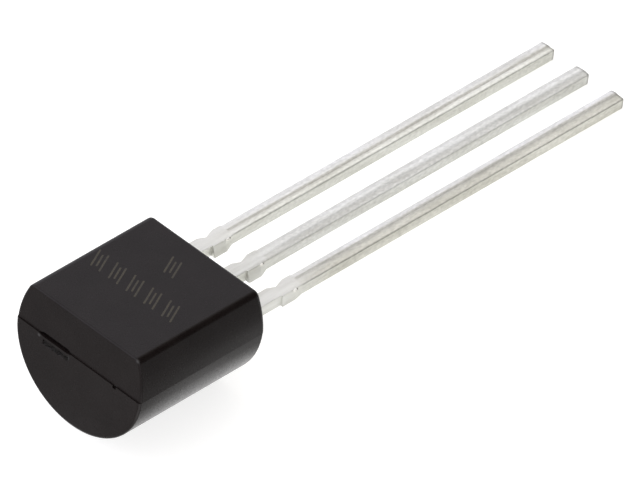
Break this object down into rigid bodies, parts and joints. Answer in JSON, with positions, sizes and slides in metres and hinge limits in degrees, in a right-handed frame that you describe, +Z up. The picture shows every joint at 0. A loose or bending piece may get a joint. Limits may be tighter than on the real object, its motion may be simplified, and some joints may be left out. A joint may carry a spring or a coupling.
{
  "type": "three-lead through-hole transistor",
  "caption": "Small-signal transistor: a black D-shaped moulded body with straight tinned leads, lying flat face up on its leads and rounded back.",
  "frame": {"origin": "on the surface the part lies on, at the middle of its bounding box", "axes": "+X from the body towards the lead tips, +Y across the lead row from the collector lead to the emitter lead, +Z up, out of the flat face"},
  "size_m": [0.0192, 0.0044, 0.004],
  "materials": {
    "moulding_compound": "fine matt moulded epoxy with a faint sheen",
    "tinned_lead": "bright matt tin plating, drawn and slightly uneven",
    "silicon": "polished",
    "silver_epoxy": "dull",
    "gold_wire": "bright"
  },
  "bodies": {
    "root": {"moulded_body": "moulding_compound", "collector_lead": "tinned_lead", "base_lead": "tinned_lead", "emitter_lead": "tinned_lead", "transistor_die": "silicon", "die_attach": "silver_epoxy", "base_bond_wire": "gold_wire", "emitter_bond_wire": "gold_wire"}
  },
  "joints": []
}
